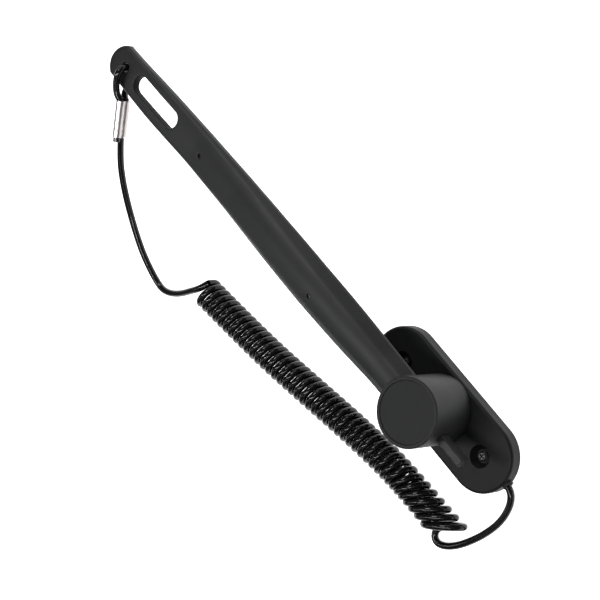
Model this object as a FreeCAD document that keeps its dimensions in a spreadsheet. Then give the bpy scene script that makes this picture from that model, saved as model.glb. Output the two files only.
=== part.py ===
"""Swivelling arm on an oblong wall plate, tethered by a coiled security cord.

Frame: millimetres, origin at the centre of the plate's back face, +Z out of the
wall, +Y along the arm towards its eye, +X to the right seen from the front.
"""
import math
import os

import FreeCAD
import Part

Vector = FreeCAD.Vector
doc = FreeCAD.newDocument("tethered_arm")

# ---------------------------------------------------------------- driving sizes
SIZES = {
    "screw_spacing": 88.0,       # between the two wall screws
    "plate_radius": 25.4,        # round ends of the plate
    "plate_depth": 10.5,         # wall to the plate's front face
    "plate_edge": 2.2,           # rounded front edge
    "plate_skin": 2.6,           # side wall and front skin of the plate
    "backing_depth": 2.0,        # closing plate at the back
    "recess_radius": 8.0,        # mouth of each screw recess
    "seat_radius": 4.8,          # floor of each screw recess
    "seat_depth": 5.6,           # height of the recess floor above the wall
    "screw_radius": 2.2,         # wall screw thread
    "screw_hole": 2.5,           # clearance hole for it
    "neck_radius": 1.9,          # plain shank under the screw's head
    "screw_reach": 14.0,         # screw beyond the plate's back face
    "head_radius": 3.9,          # wall screw head
    "head_depth": 2.4,
    "pivot_radius": 4.0,         # shoulder of the pivot screw
    "pivot_clearance": 0.05,
    "pivot_head_radius": 8.0,
    "drum_radius": 24.5,
    "drum_gap": 0.3,             # running gap over the plate
    "drum_top": 52.4,
    "drum_wall": 2.6,
    "drum_floor": 3.4,
    "block_low": 26.0,           # underside of the socket block
    "cap_depth": 3.1,
    "cap_sink": 0.35,            # cap face below the drum's rim
    "tongue_width": 5.6,
    "tongue_low": 31.0,
    "tongue_high": 40.0,
    "tongue_tip": -48.0,         # Y of the tongue's free end
    "tongue_slack": 0.35,        # gap round the tongue in its slot
    "arm_end": 13.0,             # Y where the arm's shell stops inside the drum
    "arm_tip": 366.0,            # Y of the arm's far end
    "arm_end_radius": 15.5,
    "arm_wall": 2.6,
    "arm_slack": 0.35,           # gap round the arm in the drum
    "slot_middle": 311.0,
    "slot_length": 50.0,
    "slot_width": 14.0,
    "eye_place": 349.5,
    "eye_radius": 3.6,
    "first_pin": 113.6,
    "first_pin_side": -3.9,      # X of the pin
    "second_pin": 254.4,
    "second_pin_side": -1.4,
    "pin_radius": 1.4,
    "rivet_place": 50.0,
    "cord_diameter": 5.2,
    "coil_diameter": 24.0,
    "ferrule_radius": 3.4,       # each of its two lobes
}

sheet = doc.addObject("Spreadsheet::Sheet", "sizes")
for row_number, (alias, value) in enumerate(SIZES.items(), start=1):
    sheet.set("A%d" % row_number, alias)
    sheet.set("B%d" % row_number, str(value))
    sheet.setAlias("B%d" % row_number, alias)
doc.recompute()


def size(alias):
    """The value of one cell, for pieces that a formula shapes."""
    return float(sheet.get(alias))


def bind(thing, prop, formula):
    """Tie a property to the sheet; size names in the formula are cell aliases."""
    for alias in sorted(SIZES, key=len, reverse=True):
        formula = formula.replace("<%s>" % alias, "sizes.%s" % alias)
    thing.setExpression(prop, formula)


def primitive(kind, name, place=("0", "0", "0"), **formulas):
    """A Part primitive whose sizes and place are formulas on the sheet."""
    thing = doc.addObject("Part::" + kind, name)
    for prop, formula in formulas.items():
        bind(thing, prop, formula)
    for axis, formula in zip("xyz", place):
        bind(thing, "Placement.Base." + axis, formula)
    return thing


def lay_along_y(thing):
    """Turn a primitive so that its own Z runs along +Y."""
    thing.Placement = FreeCAD.Placement(
        thing.Placement.Base, FreeCAD.Rotation(Vector(1, 0, 0), -90))


def fuse(name, pieces):
    thing = doc.addObject("Part::MultiFuse", name)
    thing.Shapes = pieces
    thing.Refine = True
    return thing


def cut(name, base, tools):
    thing = doc.addObject("Part::Cut", name)
    thing.Base = base
    thing.Tool = tools[0] if len(tools) == 1 else fuse(name + "_tools", tools)
    thing.Refine = True
    return thing


def stadium(name, radius, low, height, inset="0"):
    """Oblong block with round ends about the two screw centres."""
    block = primitive("Box", name + "_middle",
                      ("-(%s - %s)" % (radius, inset), "-<screw_spacing> / 2", low),
                      Length="2 * (%s - %s)" % (radius, inset),
                      Width="<screw_spacing>", Height=height)
    ends = []
    for label, sign in (("top", ""), ("foot", "-")):
        ends.append(primitive("Cylinder", name + "_" + label,
                              ("0", sign + "<screw_spacing> / 2", low),
                              Radius="%s - %s" % (radius, inset), Height=height))
    return fuse(name, [block] + ends)


def round_edges(name, base, radius, wanted):
    """Fillet the edges of base for which wanted(edge) is true."""
    doc.recompute()
    numbers = [number for number, edge in enumerate(base.Shape.Edges, start=1) if wanted(edge)]
    if not numbers:
        raise RuntimeError("no edges to round on " + name)
    thing = doc.addObject("Part::Fillet", name)
    thing.Base = base
    thing.Edges = [(number, radius, radius) for number in numbers]
    return thing


NODES = {}


def node(name, thing):
    """Name a finished sub-part."""
    thing.Label = name
    NODES[name] = thing
    return thing


# ---------------------------------------------------------------- wall plate
BORE_OF_PIVOT = "<pivot_radius> - 1.4"
CORD_HEIGHT = "4.95"         # where the cord enters the plate's rim, over the wall


def build_wall_plate():
    """Moulded oblong cover: hollow behind, with bosses for the screws and the pivot."""
    outside = stadium("plate_outside", "<plate_radius>", "0", "<plate_depth>")
    rounded = round_edges(
        "plate_rounded", outside, size("plate_edge"),
        lambda edge: all(abs(point.Point.z - size("plate_depth")) < 1e-6 for point in edge.Vertexes)
        and edge.BoundBox.ZLength < 1e-6)
    hollow = stadium("plate_hollow", "<plate_radius>", "-1", "<plate_depth> - <plate_skin> + 1",
                     inset="<plate_skin>")
    cover = cut("plate_cover", rounded, [hollow])
    bosses = [primitive("Cylinder", "pivot_boss", ("0", "0", "<backing_depth>"),
                        Radius="9.5", Height="<plate_depth> - <backing_depth> - 1")]
    for label, sign in (("upper", ""), ("lower", "-")):
        bosses.append(primitive("Cylinder", label + "_boss",
                                ("0", sign + "<screw_spacing> / 2", "<backing_depth>"),
                                Radius="<recess_radius> + 1.6",
                                Height="<plate_depth> - <backing_depth> - 1"))
    solid = fuse("plate_with_bosses", [cover] + bosses)
    openings = [
        primitive("Cylinder", "pivot_bore", ("0", "0", "-1"),
                  Radius=BORE_OF_PIVOT, Height="<plate_depth> + 2"),
        primitive("Prism", "nut_pocket", ("0", "0", "-1"),
                  Polygon="6", Circumradius="5.2", Height="1 + <backing_depth> + 4.2"),
    ]
    for label, sign in (("upper", ""), ("lower", "-")):
        middle = sign + "<screw_spacing> / 2"
        openings.append(primitive("Cone", label + "_recess", ("0", middle, "<seat_depth>"),
                                  Radius1="<seat_radius>", Radius2="<recess_radius>",
                                  Height="<plate_depth> - <seat_depth> + 0.001"))
        openings.append(primitive("Cylinder", label + "_screw_hole", ("0", middle, "-1"),
                                  Radius="<screw_hole>", Height="<plate_depth>"))
    cord_door = primitive("Cylinder", "cord_door",
                          ("0", "-(<screw_spacing> / 2 + <plate_radius> + 1)", CORD_HEIGHT),
                          Radius="<cord_diameter> / 2 + 1", Height="8")
    lay_along_y(cord_door)
    openings.append(cord_door)
    node("wall_plate", cut("wall_plate", solid, openings))


def build_backing():
    """Flat plate that closes the back of the cover and traps the cord's stop."""
    outline = stadium("backing_outline", "<plate_radius>", "0", "<backing_depth>",
                      inset="(<plate_skin> + 0.15)")
    openings = []
    for label, sign in (("upper", ""), ("lower", "-")):
        openings.append(primitive("Cylinder", label + "_backing_hole",
                                  ("0", sign + "<screw_spacing> / 2", "-1"),
                                  Radius="<screw_hole>", Height="<backing_depth> + 2"))
    node("backing_plate", cut("backing_plate", outline, openings))


def build_mounting_screws():
    """Two pan-head wood screws with cross recesses."""
    screws = []
    for label, sign in (("upper", ""), ("lower", "-")):
        middle = sign + "<screw_spacing> / 2"
        thread = primitive("Cylinder", label + "_thread", ("0", middle, "-<screw_reach>"),
                           Radius="<screw_radius>", Height="<screw_reach> - 0.3")
        neck = primitive("Cylinder", label + "_neck", ("0", middle, "-0.5"),
                         Radius="<neck_radius>", Height="<seat_depth> + 1")
        point = primitive("Cone", label + "_point", ("0", middle, "-<screw_reach> - 4"),
                          Radius1="0.2", Radius2="<screw_radius>", Height="4")
        head = primitive("Cylinder", label + "_head", ("0", middle, "<seat_depth>"),
                         Radius="<head_radius>", Height="<head_depth> * 0.45")
        crown = primitive("Cone", label + "_crown",
                          ("0", middle, "<seat_depth> + <head_depth> * 0.45"),
                          Radius1="<head_radius>", Radius2="<head_radius> * 0.62",
                          Height="<head_depth> * 0.55")
        blank = fuse(label + "_screw_blank", [thread, point, neck, head, crown])
        wings = []
        for wing, (across, along) in (("long", ("0.9", "4.2")), ("short", ("4.2", "0.9"))):
            wings.append(primitive("Box", label + "_" + wing + "_wing",
                                   ("-%s / 2" % across, "%s - %s / 2" % (middle, along),
                                    "<seat_depth> + <head_depth> - 1.4"),
                                   Length=across, Width=along, Height="2"))
        screws.append(cut(label + "_screw", blank, wings))
    group = doc.addObject("Part::Compound", "mounting_screws")
    group.Links = screws
    node("mounting_screws", group)


# ---------------------------------------------------------------- pivot
DRUM_FOOT = "<plate_depth> + <drum_gap>"
FLOOR_TOP = "<plate_depth> + <drum_gap> + <drum_floor>"
WASHER_DEPTH = "0.8"


def build_pivot():
    """Shoulder screw that holds the drum on the plate, its nut and its washer."""
    shoulder = primitive("Cylinder", "pivot_shoulder", ("0", "0", "<plate_depth>"),
                         Radius="<pivot_radius>",
                         Height="<drum_gap> + <drum_floor> + 0.1 + " + WASHER_DEPTH)
    thread = primitive("Cylinder", "pivot_thread", ("0", "0", "<backing_depth> + 0.3"),
                       Radius="<pivot_radius> - 1.5", Height="<plate_depth> - <backing_depth>")
    head_low = FLOOR_TOP + " + 0.1 + " + WASHER_DEPTH
    head = primitive("Cylinder", "pivot_head", ("0", "0", head_low),
                     Radius="<pivot_head_radius> - 1.2", Height="3.4")
    socket = primitive("Prism", "pivot_socket", ("0", "0", head_low + " + 1.4"),
                       Polygon="6", Circumradius="2.9", Height="3")
    node("pivot_screw", cut("pivot_screw", fuse("pivot_blank", [shoulder, thread, head]),
                            [socket]))
    washer = primitive("Cylinder", "washer_disc", ("0", "0", FLOOR_TOP + " + 0.05"),
                       Radius="<pivot_head_radius>", Height=WASHER_DEPTH)
    bore = primitive("Cylinder", "washer_bore", ("0", "0", "<plate_depth>"),
                     Radius="<pivot_radius> + 0.05", Height="10")
    node("pivot_washer", cut("pivot_washer", washer, [bore]))
    nut = primitive("Prism", "nut_blank", ("0", "0", "<backing_depth> + 0.2"), Polygon="6",
                    Circumradius="5.1", Height="3.9")
    thread_bore = primitive("Cylinder", "nut_bore", ("0", "0", "0"),
                            Radius="<pivot_radius> - 1.48", Height="8")
    node("pivot_nut", cut("pivot_nut", nut, [thread_bore]))


# ---------------------------------------------------------------- arm
# Y along the arm, half width, height of the back over the wall, rise of the crown, side height.
ARM_STATIONS = (
    (13.0, 14.6, 34.6, 4.6, 5.0),
    (42.0, 15.2, 34.8, 5.0, 5.0),
    (78.0, 16.7, 36.9, 5.8, 5.0),
    (122.0, 17.3, 38.9, 6.0, 5.0),
    (168.0, 16.8, 39.2, 5.4, 5.0),
    (214.0, 15.6, 38.6, 4.0, 5.3),
    (262.0, 14.6, 39.7, 2.2, 6.0),
    (312.0, 14.3, 43.8, 0.9, 6.4),
    (342.0, 13.3, 45.4, 0.6, 6.4),
    (374.0, 12.6, 45.8, 0.6, 6.4),
)


CHANNEL_RUNOUT = 1.5         # how far the channel's cutter stands out of the arm's back


def arm_section(station, grow=0.0, inset=0.0, low=0.0, edge=None):
    """Closed outline: flat back, two upright sides and a crowned front."""
    along, half, back, crown, rise = station
    side = half + grow - inset
    foot = back - grow + low
    top = foot + (rise if edge is None else edge) + (2 * grow if edge is None else 0)
    corners = [Vector(-side, along, foot), Vector(side, along, foot),
               Vector(side, along, top), Vector(-side, along, top)]
    crest = Vector(0, along, top + crown)
    return Part.Wire([
        Part.LineSegment(corners[0], corners[1]).toShape(),
        Part.LineSegment(corners[1], corners[2]).toShape(),
        Part.Arc(corners[2], crest, corners[3]).toShape(),
        Part.LineSegment(corners[3], corners[0]).toShape(),
    ])


def feature(name, shape):
    thing = doc.addObject("Part::Feature", name)
    thing.Shape = shape
    return thing


def build_arm():
    """Crowned moulded arm, hollow behind and closed by a thin cover."""
    wall = size("arm_wall")
    blade = Part.makeLoft([arm_section(station) for station in ARM_STATIONS], True, False)
    end_radius = size("arm_end_radius")
    end_middle = size("arm_tip") - end_radius
    round_end = Part.makeCylinder(end_radius, 40, Vector(0, end_middle, 20))
    before_end = Part.makeBox(60, end_middle, 60, Vector(-30, 0, 20))
    channel_stations = [station for station in ARM_STATIONS if station[0] < 270]
    channel = Part.makeLoft(
        [arm_section(station, inset=wall, low=-CHANNEL_RUNOUT,
                     edge=station[4] - wall + CHANNEL_RUNOUT)
         for station in channel_stations], True, False)
    outside = feature("arm_outside", blade.common(before_end.fuse(round_end).removeSplitter()))
    hollow = feature("arm_channel", channel)
    slot_parts = [primitive("Box", "slot_middle_block",
                            ("-<slot_width> / 2",
                             "<slot_middle> - <slot_length> / 2 + <slot_width> / 2", "30"),
                            Length="<slot_width>", Width="<slot_length> - <slot_width>",
                            Height="40")]
    for label, sign in (("far", "+"), ("near", "-")):
        slot_parts.append(primitive(
            "Cylinder", "slot_%s_end" % label,
            ("0", "<slot_middle> %s (<slot_length> - <slot_width>) / 2" % sign, "30"),
            Radius="<slot_width> / 2", Height="40"))
    eye = primitive("Cylinder", "eye_hole", ("0", "<eye_place>", "30"),
                    Radius="<eye_radius>", Height="40")
    pin_holes = [primitive("Cylinder", label + "_pin_hole",
                           ("<%s_side>" % label, "<%s>" % label, "30"),
                           Radius="<pin_radius>", Height="40")
                 for label in ("first_pin", "second_pin")]
    node("arm_shell", cut("arm_shell", outside, [hollow, eye] + slot_parts + pin_holes))
    cover = feature("cover_blank", cover_loft(channel_stations, wall))
    cover_holes = [primitive("Cylinder", label + "_cover_hole",
                             ("<%s_side>" % label, "<%s>" % label, "30"),
                             Radius="<pin_radius>", Height="40")
                   for label in ("first_pin", "second_pin")]
    node("arm_back_cover", cut("arm_back_cover", cover, cover_holes))
    pins = []
    for label in ("first_pin", "second_pin"):
        station = station_at(size(label))
        crest = station[2] + station[4] + station[3]
        pin = primitive("Cylinder", label + "_body",
                        ("<%s_side>" % label, "<%s>" % label, "%g" % (station[2] + 0.2)),
                        Radius="<pin_radius>", Height="%g" % (crest - station[2] - 2.2))
        pins.append(pin)
    group = doc.addObject("Part::Compound", "arm_pins")
    group.Links = pins
    node("arm_pins", group)


def station_at(along):
    """Width, back height and crown part of the way between two stations."""
    for before, after in zip(ARM_STATIONS, ARM_STATIONS[1:]):
        if before[0] <= along <= after[0]:
            share = (along - before[0]) / (after[0] - before[0])
            return tuple(a + (b - a) * share for a, b in zip(before, after))
    raise ValueError("off the arm: %g" % along)


def cover_loft(stations, wall):
    """Thin flat strip that lies in the mouth of the arm's channel."""
    thickness = 1.5
    outlines = []
    for along, half, back, *_ in stations:
        side = half - wall - 0.1
        corners = [Vector(-side, along, back), Vector(side, along, back),
                   Vector(side, along, back + thickness), Vector(-side, along, back + thickness)]
        outlines.append(Part.makePolygon(corners + corners[:1]))
    return Part.makeLoft(outlines, True, False)


TANG_LOW = 38.2              # underside of the tang
TANG_END = 64.0              # Y of its end inside the arm


def build_core():
    """Steel tongue that the drum holds, with a tang riveted inside the arm."""
    tongue = primitive("Box", "tongue_blade", ("-<tongue_width> / 2", "<tongue_tip>", "<tongue_low>"),
                       Length="<tongue_width>", Width="<arm_end> - <tongue_tip> - 0.4",
                       Height="<tongue_high> - <tongue_low>")
    tang = primitive("Box", "tongue_tang", ("-<tongue_width> / 2", "<arm_end> - 4", "%g" % TANG_LOW),
                     Length="<tongue_width>", Width="%g - <arm_end> + 4" % TANG_END,
                     Height="<tongue_high> - %g" % TANG_LOW)
    blank = fuse("tongue_blank", [tongue, tang])
    rounded = round_edges(
        "tongue_rounded", blank, 0.7,
        lambda edge: edge.BoundBox.YMin < size("tongue_tip") + 1e-6
        and (edge.BoundBox.YLength < 1e-6 or edge.BoundBox.YLength > 20))
    rivet_hole = primitive("Cylinder", "tang_rivet_hole", ("0", "<rivet_place>", "30"),
                           Radius="1.6", Height="20")
    node("tongue", cut("tongue", rounded, [rivet_hole]))
    rivet = primitive("Cylinder", "tongue_rivet", ("0", "<rivet_place>", "%g" % (TANG_LOW - 0.1)),
                      Radius="1.55", Height="4")
    node("tongue_rivet", rivet)


# ---------------------------------------------------------------- drum
def build_drum():
    """Round holder: a cup with a socket block inside and a cap let into its rim."""
    outside = primitive("Cylinder", "drum_outside", ("0", "0", DRUM_FOOT),
                        Radius="<drum_radius>", Height="<drum_top> - (%s)" % DRUM_FOOT)
    rounded = round_edges(
        "drum_rounded", outside, 0.9,
        lambda edge: edge.BoundBox.ZLength < 1e-6 and abs(edge.BoundBox.ZMax - size("drum_top")) < 1e-6)
    bore = primitive("Cylinder", "drum_bore", ("0", "0", FLOOR_TOP),
                     Radius="<drum_radius> - <drum_wall>", Height="60")
    pivot_bore = primitive("Cylinder", "drum_pivot_bore", ("0", "0", "0"),
                           Radius="<pivot_radius> + <pivot_clearance>", Height="30")
    arm_pocket = [feature("arm_pocket_%s" % label, pocket_loft()) for label in ("cup", "block")]
    tongue_slots = [primitive("Box", "tongue_slot_%s" % label,
                              ("-<tongue_width> / 2 - <tongue_slack>", "-40",
                               "<tongue_low> - <tongue_slack>"),
                              Length="<tongue_width> + 2 * <tongue_slack>", Width="80",
                              Height="<tongue_high> - <tongue_low> + 2 * <tongue_slack>")
                    for label in ("cup", "block")]
    node("drum_housing", cut("drum_housing", rounded,
                             [bore, pivot_bore, arm_pocket[0], tongue_slots[0]]))
    block = primitive("Cylinder", "block_blank", ("0", "0", "<block_low>"),
                      Radius="<drum_radius> - <drum_wall> - 0.05",
                      Height="<drum_top> - <cap_sink> - <cap_depth> - <block_low>")
    spring_bed = primitive("Box", "spring_bed", ("-3", "-14", "<tongue_high>"),
                           Length="6", Width="22", Height="3.2")
    node("socket_block", cut("socket_block", block,
                             [arm_pocket[1], tongue_slots[1], spring_bed]))
    cap = primitive("Cylinder", "cap_disc",
                    ("0", "0", "<drum_top> - <cap_sink> - <cap_depth>"),
                    Radius="<drum_radius> - <drum_wall> - 0.05", Height="<cap_depth>")
    node("drum_cap", round_edges(
        "drum_cap", cap, 0.5,
        lambda edge: edge.BoundBox.ZLength < 1e-6
        and abs(edge.BoundBox.ZMax - size("drum_top") + size("cap_sink")) < 1e-6))


def pocket_loft():
    """Straight socket with the section of the arm's end and a gap round it."""
    slack = size("arm_slack")
    first, second = ARM_STATIONS[0], ARM_STATIONS[1]
    widest = (first[0] - slack, *first[1:])
    mouth = (size("drum_radius") + 6, second[1], first[2], second[3], second[4])
    return Part.makeLoft([arm_section(widest, grow=slack + 0.3), arm_section(mouth, grow=slack + 0.3)],
                         True, False)


def build_spring():
    """Bowed leaf that presses on the tongue through the slot's roof."""
    low = size("tongue_high") + 0.06
    thick = 0.4
    half_span = 9.0
    bow = 1.5
    middle = -3.0
    outer = Part.Arc(Vector(0, middle - half_span, low + thick + bow),
                     Vector(0, middle, low + thick),
                     Vector(0, middle + half_span, low + thick + bow)).toShape()
    inner = Part.Arc(Vector(0, middle - half_span, low + bow),
                     Vector(0, middle, low),
                     Vector(0, middle + half_span, low + bow)).toShape()
    ends = [Part.LineSegment(Vector(0, middle + side * half_span, low + bow),
                             Vector(0, middle + side * half_span, low + thick + bow)).toShape()
            for side in (-1, 1)]
    outline = Part.Wire(Part.__sortEdges__([outer, inner] + ends))
    leaf = Part.Face(outline).extrude(Vector(4.6, 0, 0))
    thing = feature("leaf_spring", leaf)
    thing.Placement = FreeCAD.Placement(Vector(-2.3, 0, 0), FreeCAD.Rotation())
    node("leaf_spring", thing)


# ---------------------------------------------------------------- cord
LOWER_LEAD = (
    (0.0, -62.0, 4.95), (0.0, -73.0, 4.8), (-8.0, -80.5, 3.6), (-23.0, -83.5, 2.9),
    (-40.0, -80.5, 2.9), (-54.0, -75.2, 2.9), (-62.0, -71.0, 2.9), (-67.9, -66.3, 2.9),
    (-71.3, -61.4, 2.9), (-71.6, -58.1, 2.9), (-70.2, -55.2, 2.9), (-67.5, -53.4, 2.9),
    (-64.2, -53.2, 2.9), (-60.8, -54.9, 3.0),
)
COIL_AXIS = (
    (-54.0, -61.0, 12.3), (-54.8, -12.0, 12.3), (-61.5, 36.0, 12.3), (-70.5, 84.0, 12.3),
    (-80.5, 140.0, 12.3), (-87.2, 201.5, 12.3),
)
UPPER_LEAD = (
    (-79.6, 198.6, 17.5), (-85.2, 203.0, 20.0), (-94.5, 209.8, 17.0), (-105.5, 217.8, 12.5),
    (-114.8, 227.0, 8.5), (-119.8, 236.0, 6.8), (-119.6, 244.0, 6.8), (-116.0, 254.0, 9.4),
    (-110.0, 266.0, 13.2), (-102.5, 277.0, 17.0), (-93.5, 288.5, 21.3), (-83.0, 299.5, 26.6),
    (-71.0, 309.5, 32.6), (-58.5, 316.8, 38.4), (-45.6, 321.9, 43.7),
)
TETHER_LOOP = (
    (-20.6, 335.8, 51.9), (-19.6, 340.0, 53.8), (-13.0, 344.9, 56.0), (-7.0, 347.2, 57.6),
    (-2.6, 348.3, 57.5), (0.4, 349.0, 54.4), (0.4, 349.3, 44.6), (-3.0, 348.8, 41.0),
    (-12.2, 346.2, 40.4), (-19.2, 341.8, 45.6), (-20.2, 336.0, 46.6),
)
TETHER_TAIL = ((-44.2, 322.0, 49.05), (-47.2, 320.2, 48.7))


def report_bend(name, radius):
    print("%s: tightest bend %.1f mm" % (name, radius))


def cord_path(name, points):
    """Straight runs joined by tangent arcs, each as large as its two runs allow."""
    corners = [Vector(*point) for point in points]
    edges = []
    start = corners[0]
    tightest = math.inf
    for before, corner, after in zip(corners, corners[1:], corners[2:]):
        into = (corner - before).normalize()
        away = (after - corner).normalize()
        turn = into.getAngle(away)
        shorter = min((corner - before).Length, (after - corner).Length)
        radius = 0.45 * shorter / math.tan(turn / 2)
        tightest = min(tightest, radius)
        reach = 0.45 * shorter
        first = corner - into * reach
        last = corner + away * reach
        middle_way = (away - into).normalize()
        crest = corner + middle_way * (radius / math.cos(turn / 2) - radius)
        if (first - start).Length > 1e-6:
            edges.append(Part.LineSegment(start, first).toShape())
        edges.append(Part.Arc(first, crest, last).toShape())
        start = last
    edges.append(Part.LineSegment(start, corners[-1]).toShape())
    if math.isfinite(tightest):
        report_bend(name, tightest)
    return Part.Wire(edges)


def tube(name, points, diameter):
    """Solid round tube along a cord's path; its volume must match section times length."""
    path = cord_path(name, points)
    along = Vector(*points[1]) - Vector(*points[0])
    section = Part.Wire(Part.makeCircle(diameter / 2, Vector(*points[0]), along))
    solid = path.makePipeShell([section], True, False)
    expected = math.pi * diameter ** 2 / 4 * path.Length
    print("%s: length %.1f mm, volume ratio %.4f" % (name, path.Length, solid.Volume / expected))
    if abs(solid.Volume / expected - 1) > 0.01:
        raise RuntimeError(name + " is not a clean tube")
    return solid


def build_cord():
    """Plain stretches of the security cord, its coil, and the crimps on it."""
    thickness = size("cord_diameter")
    node("lower_lead", feature("lower_lead", tube("lower_lead", LOWER_LEAD, thickness)))
    node("coil", feature("coil", tube("coil", COIL_AXIS, size("coil_diameter"))))
    node("upper_lead", feature("upper_lead", tube("upper_lead", UPPER_LEAD, thickness)))
    node("tether_loop", feature("tether_loop", tube("tether_loop", TETHER_LOOP, thickness)))
    node("tether_tail", feature("tether_tail", tube("tether_tail", TETHER_TAIL, thickness)))


def build_ferrule():
    """Two-lobed crimp that closes the loop on the cord."""
    top = Vector(-20.4, 335.9, 49.3)
    foot = Vector(-44.0, 322.1, 46.4)
    along = foot - top
    across = along.cross(Vector(0, 0, 1)).normalize()
    upright = across.cross(along).normalize()
    offset = upright * size("cord_diameter") * 0.51
    lobes = [Part.makeCylinder(size("ferrule_radius"), along.Length, top + side, along)
             for side in (offset, -offset)]
    body = lobes[0].fuse(lobes[1]).removeSplitter()
    node("ferrule", feature("ferrule", body))


def build_cord_fittings():
    """Grommet where the cord enters the plate, and the stop crimped on inside."""
    foot = "-(<screw_spacing> / 2 + <plate_radius>)"
    collar = primitive("Cylinder", "grommet_collar", ("0", foot + " - 1.8", CORD_HEIGHT),
                       Radius="<cord_diameter> / 2 + 1.2", Height="1.6")
    neck = primitive("Cylinder", "grommet_neck", ("0", foot + " - 0.4", CORD_HEIGHT),
                     Radius="<cord_diameter> / 2 + 0.85", Height="2.9")
    bore = primitive("Cylinder", "grommet_bore", ("0", foot + " - 3", CORD_HEIGHT),
                     Radius="<cord_diameter> / 2 + 0.02", Height="9")
    for piece in (collar, neck, bore):
        lay_along_y(piece)
    node("cord_grommet", cut("cord_grommet", fuse("grommet_blank", [collar, neck]), [bore]))
    stop = primitive("Cylinder", "cord_stop", ("0", "-62", CORD_HEIGHT),
                     Radius="<cord_diameter> / 2 + 0.3", Height="7")
    lay_along_y(stop)
    node("cord_stop", stop)


build_wall_plate()
build_backing()
build_mounting_screws()
build_pivot()
build_drum()
build_spring()
build_arm()
build_core()
build_cord()
build_ferrule()
build_cord_fittings()
doc.recompute()

# ---------------------------------------------------------------- checks and files
for thing in doc.Objects:
    if "Invalid" in thing.State or "Error" in thing.State:
        raise RuntimeError("%s failed: %s" % (thing.Label, thing.State))
os.makedirs("parts", exist_ok=True)
for name, thing in NODES.items():
    shape = thing.Shape
    if shape.isNull() or not shape.isValid():
        raise RuntimeError(name + " has no valid shape")
    print("%-16s solids %d volume %9.1f" % (name, len(shape.Solids), shape.Volume))
    shape.exportStep("parts/%s.step" % name)
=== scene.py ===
"""Tethered swivel arm on an oblong wall plate: finishes, cords, floor, light and camera.

Metres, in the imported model's frame: +Z out of the wall, +Y along the arm to its eye.
"""

import math

import bpy
import numpy as np
from mathutils import Matrix, Vector
from mathutils.geometry import delaunay_2d_cdt


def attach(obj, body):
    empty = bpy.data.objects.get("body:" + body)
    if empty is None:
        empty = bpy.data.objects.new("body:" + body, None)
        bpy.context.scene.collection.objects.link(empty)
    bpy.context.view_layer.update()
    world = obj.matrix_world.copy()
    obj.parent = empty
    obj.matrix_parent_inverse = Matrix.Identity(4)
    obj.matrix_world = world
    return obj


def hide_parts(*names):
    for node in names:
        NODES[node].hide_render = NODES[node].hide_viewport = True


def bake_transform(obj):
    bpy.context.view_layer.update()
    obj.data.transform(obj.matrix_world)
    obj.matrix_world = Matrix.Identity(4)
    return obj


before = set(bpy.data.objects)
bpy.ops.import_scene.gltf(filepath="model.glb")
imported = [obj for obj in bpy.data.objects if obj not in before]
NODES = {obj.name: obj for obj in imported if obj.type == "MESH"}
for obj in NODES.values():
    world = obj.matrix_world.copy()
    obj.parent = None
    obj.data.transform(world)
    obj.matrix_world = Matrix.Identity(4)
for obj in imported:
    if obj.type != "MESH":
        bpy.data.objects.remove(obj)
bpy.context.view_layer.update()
MM = 0.001


# ---------------------------------------------------------------- camera
CAMERA_PLACE = Vector((0.5889, -0.4604, 1.1601))
CAMERA_TARGET = Vector((-0.0209, 0.1267, 0.0300))
CAMERA_ROLL = math.radians(-91.4)
CAMERA_LENS = 120.0


def add_camera():
    """A long lens over the lower right of the arm, rolled so the arm runs down to the right."""
    data = bpy.data.cameras.new("camera")
    data.lens = CAMERA_LENS
    data.sensor_width = 36.0
    camera = bpy.data.objects.new("camera", data)
    bpy.context.scene.collection.objects.link(camera)
    upright = (CAMERA_TARGET - CAMERA_PLACE).to_track_quat("-Z", "Y").to_matrix().to_4x4()
    camera.matrix_world = (Matrix.Translation(CAMERA_PLACE) @ upright
                           @ Matrix.Rotation(CAMERA_ROLL, 4, "Z"))
    bpy.context.scene.camera = camera


# ---------------------------------------------------------------- shader groups
def new_group(name, inputs, outputs):
    """An empty node group with float inputs and the given (name, kind) outputs."""
    group = bpy.data.node_groups.new(name, "ShaderNodeTree")
    for label, value in inputs:
        socket = group.interface.new_socket(label, in_out="INPUT", socket_type="NodeSocketFloat")
        socket.default_value = value
    for label, kind in outputs:
        group.interface.new_socket(label, in_out="OUTPUT", socket_type=kind)
    return group, group.nodes.new("NodeGroupInput"), group.nodes.new("NodeGroupOutput")


def noise(nodes, links, vector, scale, detail=3.0, roughness=0.55):
    """A noise texture on the given coordinates; scale is a number or a socket."""
    node = nodes.new("ShaderNodeTexNoise")
    node.inputs["Detail"].default_value = detail
    node.inputs["Roughness"].default_value = roughness
    links.new(vector, node.inputs["Vector"])
    if isinstance(scale, (int, float)):
        node.inputs["Scale"].default_value = scale
    else:
        links.new(scale, node.inputs["Scale"])
    return node.outputs["Fac"]


def remap(nodes, links, value, low, high):
    """Spread a 0 to 1 value between low and high; each may be a number or a socket."""
    node = nodes.new("ShaderNodeMapRange")
    links.new(value, node.inputs["Value"])
    for label, end in (("To Min", low), ("To Max", high)):
        if isinstance(end, (int, float)):
            node.inputs[label].default_value = end
        else:
            links.new(end, node.inputs[label])
    return node.outputs["Result"]


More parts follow.
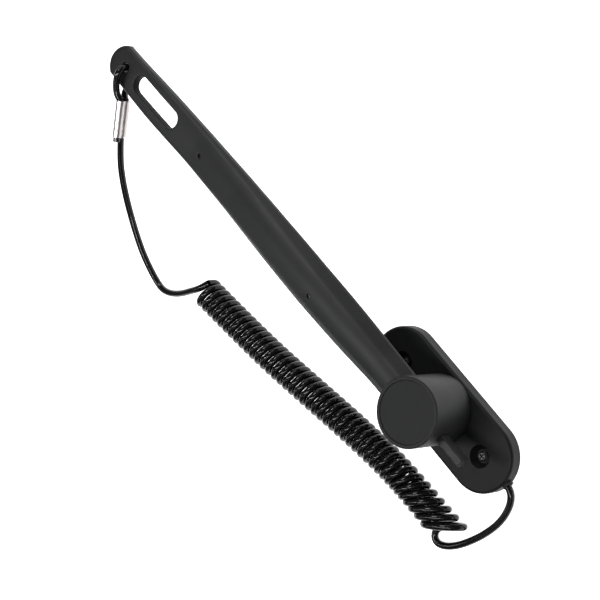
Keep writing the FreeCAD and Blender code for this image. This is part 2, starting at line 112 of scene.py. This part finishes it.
def moulded_grain_group():
    """Fine spark grain with faint broad clouds, as a height and a roughness."""
    group, inside, out = new_group(
        "moulded_grain",
        [("Grain Scale", 2600.0), ("Roughness Low", 0.38), ("Roughness High", 0.5)],
        [("Height", "NodeSocketFloat"), ("Roughness", "NodeSocketFloat"),
         ("Cloud", "NodeSocketFloat")])
    nodes, links = group.nodes, group.links
    place = nodes.new("ShaderNodeTexCoord").outputs["Object"]
    grain = noise(nodes, links, place, inside.outputs["Grain Scale"], 2.0, 0.6)
    cloud = noise(nodes, links, place, 55.0, 4.0, 0.6)
    rough = remap(nodes, links, cloud, inside.outputs["Roughness Low"],
                  inside.outputs["Roughness High"])
    links.new(grain, out.inputs["Height"])
    links.new(rough, out.inputs["Roughness"])
    links.new(cloud, out.inputs["Cloud"])
    return group


def scuff_group():
    """Sparse fine scratches: thin bands of a stretched, warped noise."""
    group, inside, out = new_group(
        "fine_scuffs", [("Scale", 160.0), ("Amount", 0.5)], [("Mask", "NodeSocketFloat")])
    nodes, links = group.nodes, group.links
    place = nodes.new("ShaderNodeTexCoord").outputs["Object"]
    turn = nodes.new("ShaderNodeMapping")
    turn.inputs["Rotation"].default_value = (0.3, 0.5, 0.9)
    turn.inputs["Scale"].default_value = (1.0, 0.12, 1.0)
    links.new(place, turn.inputs["Vector"])
    streak = noise(nodes, links, turn.outputs["Vector"], inside.outputs["Scale"], 4.0, 0.7)
    band = nodes.new("ShaderNodeMapRange")
    band.inputs["From Min"].default_value = 0.63
    band.inputs["From Max"].default_value = 0.70
    links.new(streak, band.inputs["Value"])
    scaled = nodes.new("ShaderNodeMath")
    scaled.operation = "MULTIPLY"
    links.new(band.outputs["Result"], scaled.inputs[0])
    links.new(inside.outputs["Amount"], scaled.inputs[1])
    links.new(scaled.outputs["Value"], out.inputs["Mask"])
    return group


MOULDED_GRAIN = moulded_grain_group()
FINE_SCUFFS = scuff_group()


def blank_material(name):
    material = bpy.data.materials.new(name)
    material.use_nodes = True
    tree = material.node_tree
    shader = tree.nodes["Principled BSDF"]
    return material, tree.nodes, tree.links, shader


def place_group(nodes, group, **values):
    node = nodes.new("ShaderNodeGroup")
    node.node_tree = group
    for label, value in values.items():
        node.inputs[label.replace("_", " ")].default_value = value
    return node


def colour_mix(nodes, links, mask, first, second):
    """Blend two colours by a mask."""
    mix = nodes.new("ShaderNodeMix")
    mix.data_type = "RGBA"
    links.new(mask, mix.inputs["Factor"])
    mix.inputs["A"].default_value = (*first, 1.0)
    mix.inputs["B"].default_value = (*second, 1.0)
    return mix.outputs["Result"]


def add_bump(nodes, links, shader, height, strength, distance):
    bump = nodes.new("ShaderNodeBump")
    bump.inputs["Strength"].default_value = strength
    bump.inputs["Distance"].default_value = distance
    links.new(height, bump.inputs["Height"])
    links.new(bump.outputs["Normal"], shader.inputs["Normal"])


def satin_black(name, low=0.40, high=0.52, grain=2600.0, strength=0.25,
                dark=(0.0075, 0.0077, 0.0082), light=(0.0115, 0.0118, 0.0125), specular=0.24):
    """Moulded black plastic with a fine grain that softens its reflections."""
    material, nodes, links, shader = blank_material(name)
    surface = place_group(nodes, MOULDED_GRAIN, Grain_Scale=grain,
                          Roughness_Low=low, Roughness_High=high)
    links.new(colour_mix(nodes, links, surface.outputs["Cloud"], dark, light),
              shader.inputs["Base Color"])
    links.new(surface.outputs["Roughness"], shader.inputs["Roughness"])
    shader.inputs["Specular IOR Level"].default_value = specular
    add_bump(nodes, links, shader, surface.outputs["Height"], strength, 0.00008)
    return material


def glossy_jacket(name):
    """Extruded polyurethane jacket: wet-looking black with a faint long ripple."""
    material, nodes, links, shader = blank_material(name)
    surface = place_group(nodes, MOULDED_GRAIN, Grain_Scale=700.0,
                          Roughness_Low=0.06, Roughness_High=0.12)
    links.new(colour_mix(nodes, links, surface.outputs["Cloud"],
                         (0.0018, 0.0018, 0.0020), (0.0045, 0.0045, 0.0048)),
              shader.inputs["Base Color"])
    links.new(surface.outputs["Roughness"], shader.inputs["Roughness"])
    shader.inputs["IOR"].default_value = 1.34
    add_bump(nodes, links, shader, surface.outputs["Height"], 0.12, 0.00006)
    return material


def bare_metal(name, dark, light, low, high, metallic=1.0):
    """Metal with fine scuffs that roughen and brighten it."""
    material, nodes, links, shader = blank_material(name)
    surface = place_group(nodes, MOULDED_GRAIN, Grain_Scale=900.0,
                          Roughness_Low=low, Roughness_High=high)
    scuffs = place_group(nodes, FINE_SCUFFS, Scale=420.0, Amount=0.8)
    links.new(colour_mix(nodes, links, scuffs.outputs["Mask"], dark, light),
              shader.inputs["Base Color"])
    links.new(surface.outputs["Roughness"], shader.inputs["Roughness"])
    shader.inputs["Metallic"].default_value = metallic
    add_bump(nodes, links, shader, scuffs.outputs["Mask"], 0.3, 0.00005)
    return material


MOULDING = satin_black("satin_moulding")
# Painted shade: a darker, duller black for the hand slot's upright walls, where shade falls.
SLOT_PAINTED_SHADE = satin_black("slot_painted_shade", low=0.5, high=0.62, specular=0.06,
                         dark=(0.0035, 0.0036, 0.0038), light=(0.0055, 0.0056, 0.0060))
# Painted shade: the wall plate gets a darker copy of the moulding, standing in for the shadow that
# the arm and drum cast on it.
PLATE_SHADED_MOULDING = satin_black("plate_painted_shade", low=0.42, high=0.55, specular=0.15,
                             dark=(0.0030, 0.0031, 0.0033), light=(0.0050, 0.0051, 0.0054))
DRUM_MOULDING = satin_black("drum_moulding", low=0.44, high=0.56, strength=0.35, specular=0.18)
CAP_MOULDING = satin_black("cap_moulding", low=0.5, high=0.62, strength=0.4, specular=0.18)
HIDDEN_MOULDING = satin_black("inner_moulding", low=0.5, high=0.65)
JACKET = glossy_jacket("cord_jacket")
CRIMP = bare_metal("pressed_aluminium", (0.46, 0.43, 0.425), (0.57, 0.54, 0.53), 0.26, 0.40)
ZINC = bare_metal("zinc_plate", (0.42, 0.42, 0.43), (0.62, 0.62, 0.63), 0.28, 0.42)
BLACK_OXIDE = bare_metal("black_oxide", (0.03, 0.03, 0.032), (0.12, 0.12, 0.12), 0.3, 0.42, 0.7)
TONGUE_BLACK = satin_black("tongue_black", low=0.24, high=0.34, grain=1800.0, specular=0.16,
                           dark=(0.009, 0.0092, 0.0097), light=(0.014, 0.0143, 0.015))
RUBBER = satin_black("grommet_rubber", low=0.6, high=0.75, grain=1500.0, strength=0.3)


# ---------------------------------------------------------------- mesh helpers
def finish_piece(name, mesh, material, body, *replaced):
    """Put a mesh in the scene as a smooth piece; body is None for one that is left unattached."""
    mesh.materials.clear()
    mesh.materials.append(material)
    mesh.shade_smooth()
    piece = bpy.data.objects.new(name, mesh)
    bpy.context.scene.collection.objects.link(piece)
    if body:
        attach(piece, body)
    if replaced:
        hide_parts(*replaced)
    return piece


def mesh_from(name, points, faces):
    """A mesh from a point array in millimetres, turned outwards if it is inside out."""
    mesh = bpy.data.meshes.new(name)
    points = np.asarray(points, float) * MM
    mesh.from_pydata(points.tolist(), [], [list(face) for face in faces])
    mesh.validate()
    corners = [points[list(face)] for face in faces]
    volume = sum(np.dot(loop[0], np.cross(loop[i], loop[i + 1]))
                 for loop in corners for i in range(1, len(loop) - 1))
    if volume < 0:
        mesh.flip_normals()
    return mesh


def lofted(name, rings):
    """Skin over a stack of rings (rings, points, xyz), closed round and capped at both ends."""
    count, around = rings.shape[:2]
    index = np.arange(count * around).reshape(count, around)
    beside = np.roll(index, -1, axis=1)
    quads = np.stack([index[:-1], beside[:-1], beside[1:], index[1:]], axis=-1).reshape(-1, 4)
    faces = [list(quad) for quad in quads]
    faces.append(list(index[0][::-1]))
    faces.append(list(index[-1]))
    return mesh_from(name, rings.reshape(-1, 3), faces)


def turned(name, profile, sides=160):
    """Solid of revolution about Z: radius and height pairs swept through a full turn."""
    angles = np.linspace(0, 2 * math.pi, sides, endpoint=False)
    profile = np.asarray(profile, float)
    rings = np.stack([profile[:, :1] * np.cos(angles), profile[:, :1] * np.sin(angles),
                      np.repeat(profile[:, 1:], sides, axis=1)], axis=-1)
    return lofted(name, rings)


def loop_normals(loop):
    """Unit normals of a closed plan loop, pointing to the left of its direction."""
    along = np.roll(loop, -1, axis=0) - np.roll(loop, 1, axis=0)
    along /= np.linalg.norm(along, axis=1, keepdims=True)
    return np.stack([-along[:, 1], along[:, 0]], axis=1)


def inside_loop(points, loop):
    """Which plan points lie in a closed loop, by counting crossings to the right."""
    x, y = points[:, 0][:, None], points[:, 1][:, None]
    ax, ay = loop[:, 0], loop[:, 1]
    bx, by = np.roll(ax, -1), np.roll(ay, -1)
    crosses = (ay > y) != (by > y)
    with np.errstate(divide="ignore", invalid="ignore"):
        where = ax + (y - ay) / (by - ay) * (bx - ax)
    return (crosses & (x < where)).sum(axis=1) % 2 == 1


def near_loop(points, loop):
    """Distance from each plan point to the nearest corner of a loop."""
    return np.sqrt(((points[:, None] - loop[None]) ** 2).sum(-1)).min(axis=1)


ROUND_STEPS = 6


def flat_patch(outline, holes, extra, spacing):
    """Triangles that fill an outline less its holes, with the extra points and a loose grid.

    Returns the plan points and the triangles, turned anticlockwise. The loops come first.
    """
    loops = [outline] + holes
    low, high = outline.min(axis=0), outline.max(axis=0)
    xs = np.arange(low[0], high[0], spacing)
    ys = np.arange(low[1], high[1], spacing)
    grid = np.stack(np.meshgrid(xs, ys), axis=-1).reshape(-1, 2)
    keep = inside_loop(grid, outline)
    for hole in holes:
        keep &= ~inside_loop(grid, hole)
    grid = grid[keep]
    fence = np.concatenate(loops + extra)
    grid = grid[near_loop(grid, fence) > 0.7 * spacing]
    points = np.concatenate(loops + extra + [grid])
    edges = []
    first = 0
    for loop in loops:
        edges += [(first + i, first + (i + 1) % len(loop)) for i in range(len(loop))]
        first += len(loop)
    found, _, triangles, *_ = delaunay_2d_cdt([Vector(point) for point in points], edges, [], 0, 1e-7)
    if len(found) != len(points):
        raise RuntimeError("a patch's loops cross each other")
    triangles = np.array([list(face) for face in triangles])
    middles = points[triangles].mean(axis=1)
    keep = inside_loop(middles, outline)
    for hole in holes:
        keep &= ~inside_loop(middles, hole)
    triangles = triangles[keep]
    a, b, c = (points[triangles[:, i]] for i in range(3))
    turn = (b[:, 0] - a[:, 0]) * (c[:, 1] - a[:, 1]) - (b[:, 1] - a[:, 1]) * (c[:, 0] - a[:, 0])
    triangles[turn < 0] = triangles[turn < 0][:, ::-1]
    return points, triangles


def rounded_face(loops, surface, spacing, upward, chamfer=False):
    """One broad face whose edges roll over.

    Each loop is (points, inward reach, drop): a share q from 0 to 1 gives a ring at
    reach * (1 - cos(q * 90)) inside the edge and drop * (1 - sin(q * 90)) off the surface.
    A chamfered outline has its rings at reach * q and drop * (1 - q)^1.15 instead.
    """
    rings, offs = [], []
    starts = []
    for number, (loop, reach, drop) in enumerate(loops):
        side = 1.0 if number == 0 else -1.0
        normals = side * loop_normals(loop)
        reach = np.broadcast_to(np.asarray(reach, float), (len(loop),))
        drop = np.broadcast_to(np.asarray(drop, float), (len(loop),))
        starts.append((loop, drop))
        for step in range(1, ROUND_STEPS + 1):
            share = step / ROUND_STEPS
            angle = share * math.pi / 2
            inward, down = 1 - math.cos(angle), 1 - math.sin(angle)
            if chamfer and number == 0:
                inward, down = share, (1 - share) ** 1.15
            rings.append(loop + normals * (reach * inward)[:, None])
            offs.append(drop * down)
    points, triangles = flat_patch(starts[0][0], [loop for loop, _ in starts[1:]], rings, spacing)
    off = np.zeros(len(points))
    known = np.concatenate([drop for _, drop in starts] + offs)
    off[:len(known)] = known
    heights = surface(points[:, 0], points[:, 1]) + (-off if upward else off)
    if not upward:
        triangles = triangles[:, ::-1]
    return np.column_stack([points, heights]), triangles


def slab(name, outline, holes, top, back, spacing, recess=None):
    """Closed flat piece between two surfaces, with rounded edges and holes.

    outline and holes are dicts: loop, foot (its lower loop), reach and drop on the top,
    and back_reach on the back. recess is (loop, depth) let into the back.
    """
    loops = [outline] + holes
    upper, upper_faces = rounded_face([(l["loop"], l["reach"], l["drop"]) for l in loops],
                                      top, spacing, True, outline.get("chamfer", False))
    vertices = [upper]
    faces = [upper_faces]
    total = len(upper)
    back_loops = [(l.get("foot", l["loop"]), l.get("back_reach", 0.4), l.get("back_reach", 0.4))
                  for l in loops]
    if recess is None:
        lower, lower_faces = rounded_face(back_loops, back, spacing, False)
        vertices.append(lower)
        faces.append(lower_faces + total)
        starts = [total + sum(len(l["loop"]) for l in loops[:i]) for i in range(len(loops))]
        total += len(lower)
    else:
        recess_loop, depth, within = recess
        rim_loops = [back_loops[0], (recess_loop, 0.15, 0.15)]
        rim_loops += [back_loops[i + 1] for i in range(len(holes)) if i not in within]
        rim, rim_faces = rounded_face(rim_loops, back, spacing, False)
        vertices.append(rim)
        faces.append(rim_faces + total)
        rim_start = total
        total += len(rim)
        floor_holes = [(holes[i].get("foot", holes[i]["loop"]), 0.1, 0.1) for i in within]
        floor, floor_faces = rounded_face([(recess_loop, 0.15, 0.0)] + floor_holes,
                                          lambda x, y: back(x, y) + depth, spacing, False)
        vertices.append(floor)
        faces.append(floor_faces + total)
        floor_start = total
        total += len(floor)
        count = len(recess_loop)
        ring = np.arange(count)
        beside = (ring + 1) % count
        rim_ring = rim_start + len(outline["loop"])
        walls = np.stack([rim_ring + ring, rim_ring + beside,
                          floor_start + beside, floor_start + ring], axis=-1)
        faces.append(walls)
        starts = [rim_start]
        place = rim_start + len(outline["loop"]) + count
        inner = floor_start + count
        for i, hole in enumerate(holes):
            if i in within:
                starts.append(inner)
                inner += len(hole["loop"])
            else:
                starts.append(place)
                place += len(hole["loop"])
    first = 0
    for number, loop in enumerate(loops):
        count = len(loop["loop"])
        ring = np.arange(count)
        beside = (ring + 1) % count
        wall = np.stack([first + ring, starts[number] + ring,
                         starts[number] + beside, first + beside], axis=-1)
        faces.append(wall if number == 0 else wall[:, ::-1])
        first += count
    all_faces = [list(face) for group in faces for face in group]
    mesh = mesh_from(name, np.concatenate(vertices), all_faces)
    return mesh


def circle_loop(x, y, radius, count=48):
    angles = np.linspace(0, 2 * math.pi, count, endpoint=False)
    return np.stack([x + radius * np.cos(angles), y + radius * np.sin(angles)], axis=1)


def stadium_loop(middle, half_straight, radius, count=40, step=2.0):
    """Oblong outline along Y, anticlockwise, evenly pointed."""
    ends = np.linspace(0, math.pi, count)
    far = np.stack([radius * np.cos(ends), middle + half_straight + radius * np.sin(ends)], axis=1)
    near = np.stack([-radius * np.cos(ends), middle - half_straight - radius * np.sin(ends)], axis=1)
    pieces = max(2, int(2 * half_straight / step))
    down = np.linspace(half_straight, -half_straight, pieces + 1)[1:-1]
    left = np.stack([np.full(len(down), -radius), middle + down], axis=1)
    right = np.stack([np.full(len(down), radius), middle - down], axis=1)
    return np.concatenate([far, left, near, right])


# ---------------------------------------------------------------- arm
# Y along the arm, half width, height of the back, crown, reach and drop of the rolled
# edge, height of the side.
ARM_TABLE = np.array([
    (13.0, 14.6, 34.6, 4.6, 6.6, 3.6, 5.0), (42.0, 15.2, 34.8, 5.0, 6.8, 3.7, 5.0),
    (78.0, 16.7, 36.9, 5.8, 6.8, 3.8, 5.0), (122.0, 17.3, 38.9, 6.0, 6.0, 3.4, 5.0),
    (168.0, 16.8, 39.2, 5.4, 4.4, 2.6, 5.0), (214.0, 15.6, 38.6, 4.0, 2.6, 1.7, 5.3),
    (262.0, 14.6, 39.7, 2.2, 1.6, 1.2, 6.0), (312.0, 14.3, 43.8, 0.9, 1.2, 0.9, 6.4),
    (342.0, 13.3, 45.4, 0.6, 1.2, 0.9, 6.4), (374.0, 12.6, 45.8, 0.6, 1.2, 0.9, 6.4),
])
ARM_START = 13.0
ARM_END_MIDDLE = 350.5
ARM_END_RADIUS = 15.5
ARM_CORNER = 358.9           # where the end's arc meets the sides
COVER_END = 262.0
COVER_MARGIN = 2.55


def arm_column(y, column):
    """One measure of the arm at each Y, eased between stations by a smooth curve."""
    table = ARM_TABLE
    slopes = np.gradient(table[:, column], table[:, 0])
    k = np.clip(np.searchsorted(table[:, 0], y) - 1, 0, len(table) - 2)
    span = table[k + 1, 0] - table[k, 0]
    t = np.clip((y - table[k, 0]) / span, 0, 1)
    first, second = table[k, column], table[k + 1, column]
    return ((2 * t**3 - 3 * t**2 + 1) * first + (t**3 - 2 * t**2 + t) * span * slopes[k]
            + (3 * t**2 - 2 * t**3) * second + (t**3 - t**2) * span * slopes[k + 1])


def arm_top(x, y):
    """Crowned front: back + side + crown * (1 - (x / half)^2)."""
    rise = np.interp(y, ARM_TABLE[:, 0], ARM_TABLE[:, 6])
    rise = rise + arm_column(y, 3) * (1 - (x / arm_column(y, 1)) ** 2)
    return arm_back(x, y) + rise - 0.05


def arm_back(x, y):
    return np.interp(y, ARM_TABLE[:, 0], ARM_TABLE[:, 2])


SLOT_MIDDLE = 311.0
SLOT_HALF_STRAIGHT = 18.0
SLOT_RADIUS = 7.0
EYE = (0.0, 349.5, 3.65)         # x, y, radius
PIN_PLACES = ((-3.9, 113.6), (-1.4, 254.4))
PIN_HOLE_RADIUS = 1.45


def add_arm():
    """One slab with a rolled front edge, the hand slot, the eye and the two pin holes."""
    ys = np.arange(ARM_START, ARM_CORNER - 0.8, 1.6)
    corner = math.asin((ARM_CORNER - ARM_END_MIDDLE) / ARM_END_RADIUS)
    turn = np.linspace(corner, math.pi - corner, 37)
    right = np.stack([arm_column(ys, 1), ys], axis=1)
    end = np.stack([ARM_END_RADIUS * np.cos(turn),
                    ARM_END_MIDDLE + ARM_END_RADIUS * np.sin(turn)], axis=1)
    left = right[::-1] * (-1, 1)
    near = np.linspace(-right[0, 0], right[0, 0], 19)[1:-1]
    near = np.stack([near, np.full(len(near), ARM_START)], axis=1)
    loop = np.concatenate([right, end, left, near])
    outline = {"loop": loop, "reach": arm_column(loop[:, 1], 4), "drop": arm_column(loop[:, 1], 5),
               "back_reach": 0.5, "chamfer": True}
    holes = [
        {"loop": stadium_loop(SLOT_MIDDLE, SLOT_HALF_STRAIGHT, SLOT_RADIUS, step=1.6),
         "reach": 1.2, "drop": 1.1, "back_reach": 0.5},
        {"loop": circle_loop(*EYE), "reach": 0.7, "drop": 0.7, "back_reach": 0.4},
    ]
    for x, y in PIN_PLACES:
        holes.append({"loop": circle_loop(x, y, PIN_HOLE_RADIUS, 24),
                      "reach": 0.6, "drop": 0.6, "back_reach": 0.1})
    cover_ys = np.arange(ARM_START + 0.6, COVER_END, 2.0)
    side = np.interp(cover_ys, ARM_TABLE[:, 0], ARM_TABLE[:, 1]) - COVER_MARGIN
    across = np.linspace(-1, 1, 13)[1:-1]
    far = np.stack([across[::-1] * side[-1], np.full(len(across), cover_ys[-1])], axis=1)
    close = np.stack([across * side[0], np.full(len(across), cover_ys[0])], axis=1)
    recess = np.concatenate([np.stack([side, cover_ys], axis=1), far,
                             np.stack([-side, cover_ys], axis=1)[::-1], close])
    mesh = slab("moulded_arm", outline, holes, arm_top, arm_back, 2.2, (recess, 1.6, (2, 3)))
    piece = finish_piece("moulded_arm", mesh, MOULDING, "arm", "arm_shell")
    paint_slot_wall_shade(piece)


def paint_slot_wall_shade(piece):
    """The hand slot's upright walls get a rougher, darker copy of the moulding: painted shade inside
    the slot.
    """
    piece.data.materials.append(SLOT_PAINTED_SHADE)
    for face in piece.data.polygons:
        across = abs(face.center.x) / MM
        along = abs(face.center.y / MM - SLOT_MIDDLE)
        inside = (across < SLOT_RADIUS + 0.2
                  and along < SLOT_HALF_STRAIGHT + SLOT_RADIUS + 0.5)
        if inside and abs(face.normal.z) < 0.5:
            face.material_index = 1


# ---------------------------------------------------------------- cords
CORD = 5.2
LOWER_LEAD = (
    (0.0, -62.0, 4.95), (0.0, -73.0, 4.8), (-8.0, -80.5, 3.6), (-23.0, -83.5, 2.9),
    (-40.0, -80.5, 2.9), (-54.0, -75.2, 2.9), (-62.0, -71.0, 2.9), (-67.9, -66.3, 2.9),
    (-71.3, -61.4, 2.9), (-71.6, -58.1, 2.9), (-70.2, -55.2, 2.9), (-67.5, -53.4, 2.9),
    (-64.2, -53.2, 2.9), (-60.8, -54.9, 3.0),
)
COIL_AXIS = (
    (-54.0, -61.0, 12.3), (-54.8, -12.0, 12.3), (-61.5, 36.0, 12.3), (-70.5, 84.0, 12.3),
    (-80.5, 140.0, 12.3), (-87.2, 201.5, 12.3),
)
UPPER_LEAD = (
    (-79.6, 198.6, 17.5), (-85.2, 203.0, 20.0), (-94.5, 209.8, 17.0), (-105.5, 217.8, 12.5),
    (-114.8, 227.0, 8.5), (-119.8, 236.0, 6.8), (-119.6, 244.0, 6.8), (-116.0, 254.0, 9.4),
    (-110.0, 266.0, 13.2), (-102.5, 277.0, 17.0), (-93.5, 288.5, 21.3), (-83.0, 299.5, 26.6),
    (-71.0, 309.5, 32.6), (-58.5, 316.8, 38.4), (-45.6, 321.9, 43.7),
)
TETHER_LOOP = (
    (-20.6, 335.8, 51.9), (-19.6, 340.0, 53.8), (-13.0, 344.9, 56.0), (-7.0, 347.2, 57.6),
    (-2.6, 348.3, 57.5), (0.4, 349.0, 54.4), (0.4, 349.3, 44.6), (-3.0, 348.8, 41.0),
    (-12.2, 346.2, 40.4), (-19.2, 341.8, 45.6), (-20.2, 336.0, 46.6),
)
START_ANGLE = 250.0
END_ANGLE = 30.0
WHOLE_TURNS = 43
COIL_TURNS = WHOLE_TURNS + (END_ANGLE - START_ANGLE) / 360
TURN_POINTS = 12
COIL_RADIUS = 9.4
FIRST_PITCH = 6.75
OPEN_TURNS = 4.5
COIL_INSET = 1.8             # from the end of the axis to the middle of the first turn


def spline_points(points, resolution=8):
    """The line that a NURBS spline of order 3 draws through control points, in millimetres."""
    curve = spline_curve("route", points, resolution)
    holder = bpy.data.objects.new("route", curve)
    mesh = bpy.data.meshes.new_from_object(holder)
    line = np.array([vertex.co for vertex in mesh.vertices]) / MM
    bpy.data.objects.remove(holder)
    bpy.data.meshes.remove(mesh)
    bpy.data.curves.remove(curve)
    return line


def spline_curve(name, points, resolution):
    curve = bpy.data.curves.new(name, "CURVE")
    curve.dimensions = "3D"
    spline = curve.splines.new("NURBS")
    spline.points.add(len(points) - 1)
    flat = np.column_stack([np.asarray(points, float) * MM, np.ones(len(points))])
    spline.points.foreach_set("co", flat.ravel())
    spline.order_u = 3
    spline.use_endpoint_u = True
    spline.resolution_u = resolution
    return curve


def cord_piece(name, points, diameter, resolution=8, sides=6):
    """A cord as a tube mesh, with the line that it follows."""
    line = spline_points(points, resolution)
    curve = spline_curve(name, points, resolution)
    curve.bevel_depth = diameter / 2 * MM
    curve.bevel_resolution = sides
    curve.use_fill_caps = True
    holder = bpy.data.objects.new(name, curve)
    mesh = bpy.data.meshes.new_from_object(holder)
    bpy.data.objects.remove(holder)
    length = np.linalg.norm(np.diff(line, axis=0), axis=1).sum()
    return mesh, line, length


FIRST_WIDENING = 0.12         # share added to the first turn's half-width
FIRST_SETBACK = 5.0


def coil_points():
    """Control points of the coil: turns about a smooth axis, from the lower end to the upper.

    The first turns are a little further apart. They lean as well: a point at x beside the
    axis moves back along it by x * lean, and lean fades over the first turns as
    0.08 + 0.84 / (1 + exp((turn - 5.5) / 1.3)). The first turn is wider too, by
    1 + FIRST_WIDENING * exp(-turn / 1.2), and lies back along the axis by
    FIRST_SETBACK * exp(-turn / 0.7) * sin(min(2 * turn, 1) * 90 degrees). The radius makes
    up for the way a spline of order 3 cuts inside its control points.
    """
    axis = spline_points(COIL_AXIS, 24)
    steps = np.concatenate([[0], np.cumsum(np.linalg.norm(np.diff(axis, axis=0), axis=1))])
    turn = np.linspace(0, COIL_TURNS, int(round(COIL_TURNS * TURN_POINTS)) + 1)
    rest = (steps[-1] - COIL_INSET - FIRST_PITCH * OPEN_TURNS) / (COIL_TURNS - OPEN_TURNS)
    passed = COIL_INSET + np.minimum(turn, OPEN_TURNS) * FIRST_PITCH
    passed += np.maximum(turn - OPEN_TURNS, 0) * rest
    place = np.stack([np.interp(passed, steps, axis[:, k]) for k in range(3)], axis=1)
    along = np.gradient(place, axis=0)
    along /= np.linalg.norm(along, axis=1, keepdims=True)
    across = np.cross(along, (0.0, 0.0, 1.0))
    across /= np.linalg.norm(across, axis=1, keepdims=True)
    up = np.cross(across, along)
    angle = math.radians(START_ANGLE) + turn * 2 * math.pi
    radius = COIL_RADIUS / math.cos(math.pi / TURN_POINTS)
    lean = 0.08 + 0.84 / (1 + np.exp((turn - 5.5) / 1.3))
    side = radius * np.cos(angle) * (1 + FIRST_WIDENING * np.exp(-turn / 1.2))
    back = FIRST_SETBACK * np.exp(-turn / 0.7) * np.sin(np.minimum(turn * 2, 1) * math.pi / 2)
    place = place - back[:, None] * along
    return (place + side[:, None] * across - (lean * side)[:, None] * along
            + (radius * np.sin(angle))[:, None] * up)


def add_cords():
    """Lower lead with its coil, the upper lead, and the crimped loop in the eye."""
    coil = coil_points()
    first = list(LOWER_LEAD) + [tuple(point) for point in coil]
    mesh, line, length = cord_piece("coiled_cord", first, CORD, 4, 5)
    cord = finish_piece("coiled_cord", mesh, JACKET, None, "lower_lead", "coil")
    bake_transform(cord)
    second = [tuple(coil[-1])] + list(UPPER_LEAD[1:])
    mesh, line, length = cord_piece("upper_lead_cord", second, CORD)
    lead = finish_piece("upper_lead_cord", mesh, JACKET, None, "upper_lead")
    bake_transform(lead)
    mesh, line, length = cord_piece("eye_loop", TETHER_LOOP, CORD)
    loop = finish_piece("eye_loop", mesh, JACKET, "arm", "tether_loop")


# ---------------------------------------------------------------- floor, light
def add_floor():
    """Plain white floor that lights up a little, so shadows stay faint."""
    mesh = bpy.data.meshes.new("floor")
    reach = 4.0
    mesh.from_pydata([(-reach, -reach, 0), (reach, -reach, 0), (reach, reach, 0), (-reach, reach, 0)],
                     [], [(0, 1, 2, 3)])
    material, nodes, links, shader = blank_material("white_floor")
    place = nodes.new("ShaderNodeTexCoord").outputs["Object"]
    cloud = noise(nodes, links, place, 3.0)
    links.new(colour_mix(nodes, links, cloud, (0.86, 0.86, 0.86), (0.9, 0.9, 0.9)),
              shader.inputs["Base Color"])
    shader.inputs["Roughness"].default_value = 0.9
    shader.inputs["Specular IOR Level"].default_value = 0.0
    shader.inputs["Emission Color"].default_value = (1.0, 1.0, 1.0, 1.0)
    shader.inputs["Emission Strength"].default_value = 1.0
    mesh.materials.append(material)
    floor = bpy.data.objects.new("floor", mesh)
    bpy.context.scene.collection.objects.link(floor)


def add_softbox(name, place, target, width, height, power):
    data = bpy.data.lights.new(name, "AREA")
    data.shape = "RECTANGLE"
    data.size = width
    data.size_y = height
    data.energy = power
    light = bpy.data.objects.new(name, data)
    place, target = Vector(place), Vector(target)
    turn = (target - place).to_track_quat("-Z", "Y").to_matrix().to_4x4()
    light.matrix_world = Matrix.Translation(place) @ turn
    bpy.context.scene.collection.objects.link(light)


def add_light():
    scene = bpy.context.scene
    scene.view_settings.view_transform = "Standard"
    world = bpy.data.worlds.new("studio")
    world.use_nodes = True
    world.node_tree.nodes["Background"].inputs["Color"].default_value = (1.0, 1.0, 1.0, 1.0)
    world.node_tree.nodes["Background"].inputs["Strength"].default_value = 0.15
    scene.world = world
    middle = (-0.05, 0.14, 0.02)
    add_softbox("right_box", (1.1, 0.95, 0.7), middle, 0.6, 1.0, 5.0)
    add_softbox("flank_box", (0.53, 0.77, 1.24), middle, 0.45, 0.45, 7.5)
    add_softbox("top_strip", (-0.35, 0.0, 1.5), middle, 1.9, 0.08, 17.0)
    add_softbox("front_strip", (-0.3, -0.75, 1.25), middle, 1.7, 0.06, 3.0)
    add_softbox("left_box", (-1.05, 0.77, 0.98), middle, 0.4, 0.8, 2.0)


# ---------------------------------------------------------------- assembly
def finish_cad_nodes():
    finishes = {
        "wall_plate": PLATE_SHADED_MOULDING, "backing_plate": ZINC, "mounting_screws": BLACK_OXIDE,
        "pivot_screw": ZINC, "pivot_washer": ZINC, "pivot_nut": ZINC, "cord_grommet": RUBBER,
        "cord_stop": ZINC, "drum_housing": DRUM_MOULDING, "socket_block": HIDDEN_MOULDING,
        "drum_cap": CAP_MOULDING, "leaf_spring": ZINC,
        "arm_back_cover": HIDDEN_MOULDING, "arm_pins": BLACK_OXIDE, "tongue": TONGUE_BLACK,
        "tongue_rivet": ZINC, "tether_tail": JACKET, "ferrule": CRIMP,
    }
    for name, material in finishes.items():
        mesh = NODES[name].data
        mesh.materials.clear()
        mesh.materials.append(material)


add_camera()
add_cords()
add_arm()
add_floor()
add_light()
finish_cad_nodes()
